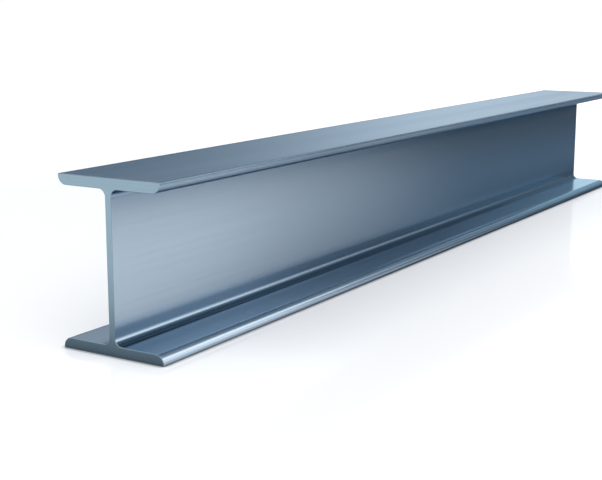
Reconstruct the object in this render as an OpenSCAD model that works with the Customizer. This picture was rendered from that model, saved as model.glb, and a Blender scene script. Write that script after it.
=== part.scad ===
// Wide-flange steel beam: one hot-rolled bar, sawn square at both ends.
// Lengths are in millimetres. X runs along the beam, Y across its flanges,
// and Z up from the underside of the flange that it lies on.

/* [Section] */
// Depth of the section, from the outside of one flange to the outside of the other
depth = 363; // [250:1:500]
// Width of each flange
flange_w = 260; // [160:1:400]
// Thickness of each flange
flange_t = 23; // [15:0.5:40]
// Thickness of the web
web_t = 15; // [8:0.5:30]

/* [Rolled radii] */
// Fillet where the web runs into a flange
root_r = 16; // [8:0.5:30]
// Round on the inner edge of each flange tip
toe_r = 20; // [4:0.5:24]
// Round on the outer edge of each flange tip
corner_r = 2; // [2:0.5:5]

/* [Length] */
// Length between the sawn ends
beam_len = 2743; // [600:1:12200]
// Edge break filed round each sawn end
edge_break = 1.5; // [0.5:0.1:2]

/* [Hidden] */
$fn = 96;

// Bare rolled steel with a blue cast
steel_blue = [0.53, 0.61, 0.68];

// Quarter of the section, measured from the middle of the web
half_depth = depth / 2;
half_width = flange_w / 2;
half_web = web_t / 2;
underside = half_depth - flange_t;

// Flat that a flange tip keeps between its two rounds
tip_flat = 0.5;
toe = min(toe_r, flange_t - corner_r - tip_flat);

// The children, drawn in all four quarters of the section
module quarters() {
    for (across = [0, 1], up = [0, 1])
        mirror([across, 0, 0]) mirror([0, up, 0]) children();
}

// What lies between a square corner at the origin and a round of radius r
module spandrel(r) {
    difference() {
        square(r);
        translate([r, r]) circle(r);
    }
}

// Half a flange and half the web, with the fillet between them and the rounds of the tip
module quarter_section() {
    difference() {
        union() {
            square([half_web, half_depth]);
            translate([0, underside]) square([half_width, flange_t]);
            translate([half_web, underside]) mirror([0, 1]) spandrel(root_r);
        }
        translate([half_width, underside]) mirror([1, 0]) spandrel(toe);
        translate([half_width, half_depth]) mirror([1, 0]) mirror([0, 1]) spandrel(corner_r);
    }
}

// Square bar, set on its corner, that planes an edge down to its break
module break_profile() {
    rotate(45) square(edge_break * sqrt(2), center = true);
}

// Break along a straight edge of the end face, from the origin along +X
module straight_break(run) {
    rotate([90, 0, 90]) linear_extrude(run) break_profile();
}

// Break along a quarter round of the end face about the origin, from +X to +Y
module round_break(r) {
    rotate_extrude(angle = 90) translate([r, 0]) break_profile();
}

// The break round a quarter of the end face at z = 0
module quarter_break() {
    // Outer face of the flange, its small round and the flat of its tip
    translate([0, half_depth, 0]) straight_break(half_width - corner_r);
    translate([half_width - corner_r, half_depth - corner_r, 0]) round_break(corner_r);
    translate([half_width, underside + toe, 0]) rotate(90) straight_break(flange_t - toe - corner_r);
    // Large round of the tip and inner face of the flange
    translate([half_width - toe, underside + toe, 0]) rotate(-90) round_break(toe);
    translate([half_web + root_r, underside, 0]) straight_break(half_width - half_web - root_r - toe);
    // Fillet and side of the web
    translate([half_web + root_r, underside - root_r, 0]) rotate(90) round_break(root_r);
    translate([half_web, 0, 0]) rotate(90) straight_break(underside - root_r);
}

// The section runs the whole length, and its edges are broken at both ends
module beam() {
    color(steel_blue)
        translate([0, 0, half_depth]) rotate([90, 0, 90])
            difference() {
                linear_extrude(beam_len, center = true) quarters() quarter_section();
                for (end = [0, 1])
                    mirror([0, 0, end]) translate([0, 0, -beam_len / 2])
                        quarters() quarter_break();
            }
}

beam();
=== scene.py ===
import math

import bmesh
import bpy
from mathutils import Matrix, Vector


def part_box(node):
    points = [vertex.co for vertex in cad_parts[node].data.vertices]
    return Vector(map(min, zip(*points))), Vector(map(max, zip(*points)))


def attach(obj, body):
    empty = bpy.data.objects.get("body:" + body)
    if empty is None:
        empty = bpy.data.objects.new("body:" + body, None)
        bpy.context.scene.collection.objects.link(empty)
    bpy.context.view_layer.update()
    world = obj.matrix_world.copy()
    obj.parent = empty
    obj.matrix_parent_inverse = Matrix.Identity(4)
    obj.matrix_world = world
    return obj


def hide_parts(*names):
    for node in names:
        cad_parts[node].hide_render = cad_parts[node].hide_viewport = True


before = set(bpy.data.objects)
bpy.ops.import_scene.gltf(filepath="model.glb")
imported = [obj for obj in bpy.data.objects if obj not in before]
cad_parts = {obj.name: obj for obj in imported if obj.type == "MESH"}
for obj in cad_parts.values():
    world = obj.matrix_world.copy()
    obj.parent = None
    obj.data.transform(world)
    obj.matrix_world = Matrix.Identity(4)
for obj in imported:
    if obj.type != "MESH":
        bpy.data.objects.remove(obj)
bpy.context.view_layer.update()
print("frame loaded:", sorted(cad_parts))

mm = 0.001


def linearColour(hexValue):
    # sRGB hex to the linear numbers that the nodes want
    parts = [int(hexValue[i:i + 2], 16) / 255 for i in (1, 3, 5)]
    return (*(p / 12.92 if p <= 0.04045 else ((p + 0.055) / 1.055) ** 2.4 for p in parts), 1.0)


def pointing(azimuth, elevation):
    # the direction that lies so many degrees round from +X and up from the floor
    turn, rise = math.radians(azimuth), math.radians(elevation)
    return Vector((math.cos(turn) * math.cos(rise), math.sin(turn) * math.cos(rise), math.sin(rise)))


def addNode(tree, kind, inputs=None, **settings):
    # one node, its settings, and for each input a value or the socket that feeds it
    node = tree.nodes.new(kind)
    for name, value in settings.items():
        setattr(node, name, value)
    for name, value in (inputs or {}).items():
        if isinstance(value, bpy.types.NodeSocket):
            tree.links.new(value, node.inputs[name])
        else:
            node.inputs[name].default_value = value
    return node


def emptyMaterial(name):
    material = bpy.data.materials.new(name)
    material.use_nodes = True
    material.node_tree.nodes.clear()
    return material, material.node_tree


def meshObject(name, bm, *materials):
    mesh = bpy.data.meshes.new(name)
    bm.to_mesh(mesh)
    bm.free()
    for material in materials:
        mesh.materials.append(material)
    made = bpy.data.objects.new(name, mesh)
    bpy.context.scene.collection.objects.link(made)
    return made


def strip(across, up, full, end, near, far, wide=0.0, tall=0.0,
          fromX=-400.0, toX=1300.0, colour="#325870"):
    # a strip along the bar that paints shade with a dark colour and a highlight with a light one; in
    # mm: its middle across and up, half its width and height, how far from it the tone is full and
    # where it ends;
    # near and far are the share of the steel that still shows at fromX and at toX; below 0 across, it
    # is on the front side alone
    return dict(across=across, up=up, wide=wide, tall=tall, full=full, end=end, near=near, far=far,
                fromX=fromX, toX=toX, colour=colour)


# rolled steel: hot-rolled, cleaned of most of its scale and blued, so it is a smooth satin metal with a
# blue cast; the rolls leave faint streaks along the bar and a slight unevenness in the gloss; painted
# shade darkens the roots, inner faces, web and tips, and painted highlights brighten the flange edges
rolledLook = dict(
    colour="#9dabb9", streakColour="#99a7b5", edgeTint="#e8f1fa",
    metallic=0.93,  # the thin oxide film takes a little of the metal's shine
    smoothest=0.20, roughest=0.23,
    smoothAt=0.3, roughAt=0.7,            # the strength of a streak at those two
    streakWidth=9.0, streakLength=700.0,  # mm, real streaks are about 1 mm wide, drawn wider to show
    streakDetail=3.0, streakBreakUp=0.6,
    grainSize=3.0, grainDepth=0.004,      # mm, real grain is under 0.5 mm, drawn coarser to show
    grainDetail=2.0,
    strips=dict(
        # painted shade in the roots, on the inner faces, on the web's foot, lower part and head, and on
        # the tips
        lowerRoot=strip(19.0, 22.0, wide=4.0, full=4.0, end=8.0, near=0.40, far=0.55),
        rootLine=strip(10.8, 29.4, full=1.6, end=3.8, near=0.05, far=0.40, colour="#22394b"),
        besideRoot=strip(22.0, 14.0, wide=4.0, full=9.0, end=26.0, near=0.80, far=0.90),
        webFoot=strip(7.5, 49.0, full=6.0, end=15.0, near=0.54, far=0.58),
        webLow=strip(7.5, 60.0, full=10.0, end=75.0, near=1.0, far=0.78, fromX=200.0, toX=900.0),
        webHead=strip(7.5, 330.0, full=12.0, end=52.0, near=0.86, far=0.42,
                      fromX=-1000.0, toX=800.0, colour="#3a78a0"),
        lowerInside=strip(66.0, 23.0, wide=44.0, full=1.0, end=6.0, near=0.58, far=1.0, fromX=-1300.0),
        nearInside=strip(-66.0, 23.0, wide=44.0, full=1.0, end=6.0, near=0.48, far=1.0,
                         fromX=-1300.0, toX=-100.0),
        lowerTip=strip(130.0, 4.0, full=8.0, end=18.0, near=1.0, far=0.45),
        lowerCorner=strip(129.5, 0.0, full=2.8, end=6.0, near=0.65, far=0.05,
                          fromX=-1300.0, toX=0.0, colour="#22394b"),
        upperRoot=strip(7.5, 340.0, full=6.5, end=22.0, near=0.30, far=0.30),
        upperInside=strip(66.0, 340.0, wide=44.0, full=1.0, end=6.0, near=0.62, far=0.62),
        upperTip=strip(130.0, 350.0, full=13.0, end=20.0, near=0.56, far=1.0),
        # painted highlights on the lower flange's face and edge and on the upper tip's edge
        lowerEdge=strip(114.0, 23.0, wide=3.0, full=4.0, end=9.0, near=1.0, far=0.05,
                        fromX=-500.0, toX=100.0, colour="#dff2ff"),
        edgeLine=strip(118.1, 21.3, full=1.5, end=3.5, near=0.30, far=1.0,
                       fromX=-500.0, toX=100.0, colour="#c0e8fd"),
        lowerFace=strip(75.0, 23.0, wide=35.0, full=3.0, end=30.0, near=1.0, far=0.05,
                        fromX=0.0, toX=1000.0, colour="#d6f4ff"),
        upperEdge=strip(127.5, 353.0, tall=6.0, full=3.4, end=4.6, near=1.0, far=0.30,
                        fromX=-700.0, toX=300.0, colour="#dfe8f0"),
    ),
)


def makeRolledSteel(look):
    material, tree = emptyMaterial("rolledSteel")
    place = addNode(tree, "ShaderNodeTexCoord").outputs["Object"]
    # streaks along the bar
    along, across = 1 / (look["streakLength"] * mm), 1 / (look["streakWidth"] * mm)
    stretched = addNode(tree, "ShaderNodeMapping", {"Vector": place, "Scale": (along, across, across)})
    streaks = addNode(tree, "ShaderNodeTexNoise", {
        "Vector": stretched.outputs["Vector"], "Scale": 1.0,
        "Detail": look["streakDetail"], "Roughness": look["streakBreakUp"]})
    colour = addNode(tree, "ShaderNodeMix", {
        0: streaks.outputs["Fac"],
        6: linearColour(look["colour"]), 7: linearColour(look["streakColour"])},
        data_type="RGBA").outputs[2]
    # strips of painted shade and painted highlights, by the distance from each in the section and the
    # place along the bar
    onBar = addNode(tree, "ShaderNodeSeparateXYZ", {0: place}).outputs["X"]
    section = addNode(tree, "ShaderNodeVectorMath", {0: place, 1: (0, 1, 1)}, operation="MULTIPLY")
    folded = addNode(tree, "ShaderNodeVectorMath", {0: section.outputs["Vector"]}, operation="ABSOLUTE")
    for tone in look["strips"].values():
        away = folded if tone["across"] > 0 else section
        for operation, other in (
                ("SUBTRACT", (0, tone["across"] * mm, tone["up"] * mm)), ("ABSOLUTE", (0, 0, 0)),
                ("SUBTRACT", (0, tone["wide"] * mm, tone["tall"] * mm)), ("MAXIMUM", (0, 0, 0))):
            away = addNode(tree, "ShaderNodeVectorMath", {
                0: away.outputs["Vector"], 1: other}, operation=operation)
        away = addNode(tree, "ShaderNodeVectorMath", {0: away.outputs["Vector"]}, operation="LENGTH")
        left = addNode(tree, "ShaderNodeMapRange", {
            "Value": onBar, "From Min": tone["fromX"] * mm, "From Max": tone["toX"] * mm,
            "To Min": tone["near"], "To Max": tone["far"]})
        share = addNode(tree, "ShaderNodeMapRange", {
            "Value": away.outputs["Value"], "From Min": tone["full"] * mm, "From Max": tone["end"] * mm,
            "To Min": left.outputs["Result"], "To Max": 1.0}, interpolation_type="SMOOTHSTEP")
        colour = addNode(tree, "ShaderNodeMix", {
            0: share.outputs["Result"], 6: linearColour(tone["colour"]), 7: colour},
            data_type="RGBA").outputs[2]
    # gloss that follows the streaks, and a fine grain
    gloss = addNode(tree, "ShaderNodeMapRange", {
        "Value": streaks.outputs["Fac"], "From Min": look["smoothAt"], "From Max": look["roughAt"],
        "To Min": look["smoothest"], "To Max": look["roughest"]})
    grain = addNode(tree, "ShaderNodeTexNoise", {
        "Vector": place, "Scale": 1 / (look["grainSize"] * mm), "Detail": look["grainDetail"]})
    bump = addNode(tree, "ShaderNodeBump", {
        "Height": grain.outputs["Fac"], "Distance": look["grainDepth"] * mm, "Strength": 1.0})
    steel = addNode(tree, "ShaderNodeBsdfPrincipled", {
        "Base Color": colour, "Metallic": look["metallic"], "Roughness": gloss.outputs["Result"],
        "Specular Tint": linearColour(look["edgeTint"]),
        "Normal": bump.outputs["Normal"]})
    addNode(tree, "ShaderNodeOutputMaterial", {"Surface": steel.outputs["BSDF"]})
    return material


# sawn steel: the same steel cut by a band saw and its edges filed, so it is bare of scale and a little
# duller, with fine straight saw lines across the cut
sawnLook = dict(
    colour="#8ca3b1", lineColour="#869dab",
    roughness=0.27,
    lineGap=3.0, lineDepth=0.01,  # mm, real saw lines are about 1 mm apart, drawn wider to show
    lineRun=50.0,                 # how many gaps long a line is
    lineDetail=1.0,
)


def makeSawnSteel(look):
    material, tree = emptyMaterial("sawnSteel")
    place = addNode(tree, "ShaderNodeTexCoord").outputs["Object"]
    fine = 1 / (look["lineGap"] * mm)
    slow = fine / look["lineRun"]
    flattened = addNode(tree, "ShaderNodeMapping", {"Vector": place, "Scale": (slow, slow, fine)})
    lines = addNode(tree, "ShaderNodeTexNoise", {
        "Vector": flattened.outputs["Vector"], "Scale": 1.0, "Detail": look["lineDetail"]})
    colour = addNode(tree, "ShaderNodeMix", {
        0: lines.outputs["Fac"],
        6: linearColour(look["colour"]), 7: linearColour(look["lineColour"])},
        data_type="RGBA").outputs[2]
    bump = addNode(tree, "ShaderNodeBump", {
        "Height": lines.outputs["Fac"], "Distance": look["lineDepth"] * mm, "Strength": 1.0})
    steel = addNode(tree, "ShaderNodeBsdfPrincipled", {
        "Base Color": colour, "Metallic": 1.0, "Roughness": look["roughness"],
        "Normal": bump.outputs["Normal"]})
    addNode(tree, "ShaderNodeOutputMaterial", {"Surface": steel.outputs["BSDF"]})
    return material


# the beam: its length, width and depth come from the frame
beamSizes = dict(  # mm
    flange=23.0, web=15.0,
    rootRadius=16.0, toeRadius=20.0, cornerRadius=2.0,
    edgeBreak=1.5, mergeWithin=0.001,
    curveSteps=16, cornerSteps=4, breakSteps=2,
    sawnTurn=0.1,    # no length: a face whose normal leans this far to an end is sawn
    flatWeight=100,  # no length: how much the large flats count in the shading beside the rounds
)


def makeBeam(sizes):
    low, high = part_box("beam")
    halfWidth, halfWeb = high.y, sizes["web"] * mm / 2
    inner, outer = sizes["flange"] * mm, high.z
    bm = bmesh.new()
    # outline of the section at the near end, counter-clockwise from the underside
    outline = [
        (-halfWidth, 0), (halfWidth, 0), (halfWidth, inner), (halfWeb, inner),
        (halfWeb, outer - inner), (halfWidth, outer - inner), (halfWidth, outer), (-halfWidth, outer),
        (-halfWidth, outer - inner), (-halfWeb, outer - inner), (-halfWeb, inner), (-halfWidth, inner)]
    ring = [bm.verts.new((low.x, y, z)) for y, z in outline]
    bm.faces.new(ring)
    roots = [ring[i] for i in (3, 4, 9, 10)]
    toes = [ring[i] for i in (2, 5, 8, 11)]
    corners = [ring[i] for i in (0, 1, 6, 7)]
    for points, radius, steps in (
            (roots, sizes["rootRadius"], sizes["curveSteps"]),
            (toes, sizes["toeRadius"], sizes["curveSteps"]),
            (corners, sizes["cornerRadius"], sizes["cornerSteps"])):
        bmesh.ops.bevel(bm, geom=points, offset=radius * mm, offset_type="OFFSET", segments=steps,
                        profile=0.5, affect="VERTICES", material=-1)
    # drawn out over the length, and the edge filed off round both cuts
    grown = bmesh.ops.extrude_face_region(bm, geom=bm.faces[:])
    farRing = [v for v in grown["geom"] if isinstance(v, bmesh.types.BMVert)]
    bmesh.ops.translate(bm, verts=farRing, vec=(high.x - low.x, 0, 0))
    cutEdges = [e for e in bm.edges if abs(e.verts[0].co.x - e.verts[1].co.x) < mm]
    bmesh.ops.bevel(bm, geom=cutEdges, offset=sizes["edgeBreak"] * mm, offset_type="OFFSET",
                    segments=sizes["breakSteps"], profile=0.5, affect="EDGES", material=-1)
    bmesh.ops.remove_doubles(bm, verts=bm.verts[:], dist=sizes["mergeWithin"] * mm)
    bmesh.ops.recalc_face_normals(bm, faces=bm.faces[:])
    for face in bm.faces:
        face.smooth = True
        face.material_index = 1 if abs(face.normal.x) > sizes["sawnTurn"] else 0
    made = meshObject("rolledBeam", bm, makeRolledSteel(rolledLook), makeSawnSteel(sawnLook))
    evenNormals = made.modifiers.new("evenNormals", "WEIGHTED_NORMAL")
    evenNormals.weight = sizes["flatWeight"]
    return made


beam = makeBeam(beamSizes)
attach(beam, "root")
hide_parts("beam")
print("beam made:", len(beam.data.polygons), "faces")


# floor: white satin acrylic with a faint mirror image
floorLook = dict(
    colour="#f9f8f8", mirrorColour="#ffffff",
    lift=1.34,                           # how much whiter the camera and the steel see it
    farLift=1.8,                         # the same for the camera alone, far off
    farFrom=1.6, farTo=6.0,              # m from the middle of the beam
    mirror=0.18, mirrorRoughness=0.08,
    contactReach=14.0, contactDark=1.7,  # mm, and how fast it darkens towards the line of contact
    contactSamples=8,
    radius=60.0, edgeSteps=96,           # m
)


def makeFloor(look):
    material, tree = emptyMaterial("whiteAcrylic")
    # painted contact shadow: darker close to the line of contact
    contact = addNode(tree, "ShaderNodeAmbientOcclusion", {"Distance": look["contactReach"] * mm},
                      samples=look["contactSamples"])
    clear = addNode(tree, "ShaderNodeMath", {0: contact.outputs["AO"], 1: look["contactDark"]},
                    operation="POWER")
    # whiter to the camera and in the steel, and to the camera more so far off
    rays = addNode(tree, "ShaderNodeLightPath")
    seen = addNode(tree, "ShaderNodeMath", {
        0: rays.outputs["Is Camera Ray"], 1: rays.outputs["Is Glossy Ray"]}, operation="MAXIMUM")
    place = addNode(tree, "ShaderNodeTexCoord").outputs["Object"]
    away = addNode(tree, "ShaderNodeVectorMath", {0: place}, operation="LENGTH")
    farLift = addNode(tree, "ShaderNodeMapRange", {
        "Value": rays.outputs["Is Camera Ray"], "To Min": look["lift"], "To Max": look["farLift"]})
    lift = addNode(tree, "ShaderNodeMapRange", {
        "Value": away.outputs["Value"], "From Min": look["farFrom"], "From Max": look["farTo"],
        "To Min": look["lift"], "To Max": farLift.outputs["Result"]})
    level = addNode(tree, "ShaderNodeMapRange", {
        "Value": seen.outputs["Value"], "To Min": 1.0, "To Max": lift.outputs["Result"]})
    share = addNode(tree, "ShaderNodeMath", {
        0: clear.outputs["Value"], 1: level.outputs["Result"]}, operation="MULTIPLY")
    colour = addNode(tree, "ShaderNodeVectorMath", {
        0: linearColour(look["colour"])[:3], "Scale": share.outputs["Value"]}, operation="SCALE")
    matt = addNode(tree, "ShaderNodeBsdfDiffuse", {"Color": colour.outputs["Vector"]})
    shine = addNode(tree, "ShaderNodeBsdfGlossy", {
        "Color": linearColour(look["mirrorColour"]), "Roughness": look["mirrorRoughness"]})
    mixed = addNode(tree, "ShaderNodeMixShader", {
        0: look["mirror"], 1: matt.outputs["BSDF"], 2: shine.outputs["BSDF"]})
    addNode(tree, "ShaderNodeOutputMaterial", {"Surface": mixed.outputs["Shader"]})
    bm = bmesh.new()
    bmesh.ops.create_circle(bm, cap_ends=True, segments=look["edgeSteps"], radius=look["radius"])
    return meshObject("floor", bm, material)


makeFloor(floorLook)

# cloths: dark cloths on the floor that only the steel mirrors, so that it shades off along the beam and
# towards the foot of the near cut; a cloth is clear from below
clothGap = 0.2  # mm, from the floor to the first cloth and from each to the next
usualCloth = dict(
    easing="SMOOTHSTEP", power=1,  # how it fades from clear to dark
    outward=(0.15, -1.0),          # the way out, and from and to where it closes up and blackens, in m
    farFrom=9.0, farTo=10.0, farCover=0.0,
)
cloths = dict(  # m; a cloth is clear where its slope times x and y gives clearAt, and dark at darkAt
    longCloth=dict(
        usualCloth, colour="#34607b", xFrom=-1.9, xTo=9.0, yFrom=-6.0, yTo=-0.132,
        slope=(1.0, 1.9), clearAt=-1.7, darkAt=0.62, cover=0.92,
        farFrom=0.7, farTo=1.9, farCover=0.8),
    farCloth=dict(
        usualCloth, colour="#38546a", xFrom=1.374, xTo=6.0, yFrom=-0.132, yTo=0.8,
        slope=(0.0, 1.0), clearAt=0.6, darkAt=0.15, cover=0.90),
    endCloth=dict(
        usualCloth, colour="#2b3d4d", xFrom=-2.30, xTo=-1.373, yFrom=-0.8, yTo=1.6,
        slope=(1.0, 0.0), clearAt=-2.27, darkAt=-1.373, cover=0.8, easing="LINEAR", power=2),
)


def makeCloth(name, look):
    material, tree = emptyMaterial(name)
    place = addNode(tree, "ShaderNodeTexCoord").outputs["Object"]
    # how clear it is: less so down its slope, and less again far out
    across = addNode(tree, "ShaderNodeVectorMath", {0: place, 1: (*look["slope"], 0.0)},
                     operation="DOT_PRODUCT")
    fade = addNode(tree, "ShaderNodeMapRange", {
        "Value": across.outputs["Value"], "From Min": look["clearAt"], "From Max": look["darkAt"]},
        interpolation_type=look["easing"])
    curved = addNode(tree, "ShaderNodeMath", {
        0: fade.outputs["Result"], 1: look["power"]}, operation="POWER")
    thin = addNode(tree, "ShaderNodeMath", {
        0: curved.outputs["Value"], 1: -look["cover"], 2: 1.0}, operation="MULTIPLY_ADD")
    outward = addNode(tree, "ShaderNodeVectorMath", {0: place, 1: (*look["outward"], 0.0)},
                      operation="DOT_PRODUCT")
    far = addNode(tree, "ShaderNodeMapRange", {
        "Value": outward.outputs["Value"], "From Min": look["farFrom"], "From Max": look["farTo"],
        "To Min": 1.0, "To Max": 1 - look["farCover"]}, interpolation_type="SMOOTHSTEP")
    thinner = addNode(tree, "ShaderNodeMath", {
        0: thin.outputs["Value"], 1: far.outputs["Result"]}, operation="MULTIPLY")
    below = addNode(tree, "ShaderNodeNewGeometry").outputs["Backfacing"]
    clearness = addNode(tree, "ShaderNodeMath", {
        0: thinner.outputs["Value"], 1: below}, operation="MAXIMUM")
    clear = addNode(tree, "ShaderNodeBsdfTransparent")
    dark = addNode(tree, "ShaderNodeEmission", {
        "Color": linearColour(look["colour"]), "Strength": far.outputs["Result"]})
    mixed = addNode(tree, "ShaderNodeMixShader", {
        0: clearness.outputs["Value"], 1: dark.outputs["Emission"], 2: clear.outputs["BSDF"]})
    addNode(tree, "ShaderNodeOutputMaterial", {"Surface": mixed.outputs["Shader"]})
    bm = bmesh.new()
    bmesh.ops.create_grid(bm, x_segments=1, y_segments=1, size=0.5)
    size = Vector((look["xTo"] - look["xFrom"], look["yTo"] - look["yFrom"], 1))
    bmesh.ops.scale(bm, verts=bm.verts[:], vec=size)
    middle = ((look["xTo"] + look["xFrom"]) / 2, (look["yTo"] + look["yFrom"]) / 2, look["lift"] * mm)
    bmesh.ops.translate(bm, verts=bm.verts[:], vec=middle)
    cloth = meshObject(name, bm, material)
    cloth.visible_camera = cloth.visible_diffuse = cloth.visible_shadow = False
    return cloth


for layer, (name, look) in enumerate(cloths.items(), 1):
    makeCloth(name, dict(look, lift=clothGap * layer))
print("floor and cloths laid")

# studio: a white surround with softly darker zones, which shade the steel as cards and curtains do;
# the camera sees it plain white
studioLook = dict(
    surround="#ffffff", level=1.06,
    zones=[  # degrees; a zone is full out to inner and gone at outer, and flat makes it lower than wide
        dict(colour="#e8f7ff", level=0.95, azimuth=22, elevation=4, inner=10, outer=25, flat=1.0),
        dict(colour="#044664", level=1.0, azimuth=54.5, elevation=4.5, inner=15, outer=30.5, flat=2.6),
        dict(colour="#5d8497", level=1.0, azimuth=-30, elevation=10.5, inner=4, outer=17, flat=1.8),
        dict(colour="#7a92a3", level=1.0, azimuth=-2, elevation=25, inner=14, outer=27, flat=1.0),
        dict(colour="#2a4256", level=1.0, azimuth=-17, elevation=2.5, inner=4, outer=13.5, flat=2.0),
        dict(colour="#b9c2ca", level=1.0, azimuth=120, elevation=52, inner=15, outer=40, flat=1.0),
    ],
)


def makeStudio(look):
    world = bpy.data.worlds.new("studio")
    bpy.context.scene.world = world
    world.use_nodes = True
    tree = world.node_tree
    tree.nodes.clear()
    direction = addNode(tree, "ShaderNodeTexCoord").outputs["Generated"]
    colour = [look["level"] * c for c in linearColour(look["surround"])]
    for zone in look["zones"]:
        squeeze = Vector((1, 1, zone["flat"]))
        middle = pointing(zone["azimuth"], zone["elevation"]) * squeeze
        squeezed = addNode(tree, "ShaderNodeVectorMath", {
            0: direction, 1: squeeze}, operation="MULTIPLY")
        unit = addNode(tree, "ShaderNodeVectorMath", {
            0: squeezed.outputs["Vector"]}, operation="NORMALIZE")
        near = addNode(tree, "ShaderNodeVectorMath", {
            0: unit.outputs["Vector"], 1: middle.normalized()}, operation="DOT_PRODUCT")
        share = addNode(tree, "ShaderNodeMapRange", {
            "Value": near.outputs["Value"], "From Min": math.cos(math.radians(zone["outer"])),
            "From Max": math.cos(math.radians(zone["inner"]))}, interpolation_type="SMOOTHSTEP")
        shade = [zone["level"] * c for c in linearColour(zone["colour"])]
        colour = addNode(tree, "ShaderNodeMix", {
            0: share.outputs["Result"], 6: colour, 7: shade}, data_type="RGBA").outputs[2]
    rays = addNode(tree, "ShaderNodeLightPath")
    colour = addNode(tree, "ShaderNodeMix", {
        0: rays.outputs["Is Camera Ray"], 6: colour, 7: linearColour(look["surround"])},
        data_type="RGBA").outputs[2]
    sky = addNode(tree, "ShaderNodeBackground", {"Color": colour})
    addNode(tree, "ShaderNodeOutputWorld", {"Surface": sky.outputs["Background"]})


makeStudio(studioLook)

# lamps: a soft box before the long side with a low strip light under it, and a soft box behind the beam
lampAim = Vector((-1.2, 0.0, 0.05))  # m, at the near end
lamps = dict(  # degrees and m
    softBox=dict(azimuth=-35, elevation=25, distance=4.0, width=1.6, height=1.04, level=1.7),
    lowStrip=dict(azimuth=-41, elevation=9.5, distance=4.0, width=1.3, height=0.92, level=1.5),
    rearBox=dict(azimuth=140, elevation=50, distance=4.0, width=1.5, height=1.5, level=2.2),
)


def makeLamp(name, look):
    lamp = bpy.data.lights.new(name, "AREA")
    lamp.shape = "RECTANGLE"
    lamp.size, lamp.size_y = look["width"], look["height"]
    lamp.energy = look["level"] * math.pi * look["width"] * look["height"]  # as bright at any size
    away = pointing(look["azimuth"], look["elevation"])
    made = bpy.data.objects.new(name, lamp)
    made.location = lampAim + away * look["distance"]
    made.rotation_euler = away.to_track_quat("Z", "Y").to_euler()
    bpy.context.scene.collection.objects.link(made)


for name, look in lamps.items():
    makeLamp(name, look)
print("light made")

# camera: stands off the near end, on the front side of the web, a little above the beam
cameraLook = dict(
    place=(-3.1006, -1.5211, 0.6954), clipEnd=500.0,  # m
    turn=(78.652, 0.0, -58.125),                      # degrees
    lens=70.292, sensor=36.0,                         # mm
)
cameraData = bpy.data.cameras.new("camera")
cameraData.lens, cameraData.sensor_width = cameraLook["lens"], cameraLook["sensor"]
cameraData.clip_end = cameraLook["clipEnd"]
camera = bpy.data.objects.new("camera", cameraData)
camera.location = cameraLook["place"]
camera.rotation_euler = [math.radians(v) for v in cameraLook["turn"]]
bpy.context.scene.collection.objects.link(camera)
bpy.context.scene.camera = camera
bpy.context.scene.view_settings.view_transform = "Standard"
print("camera set")
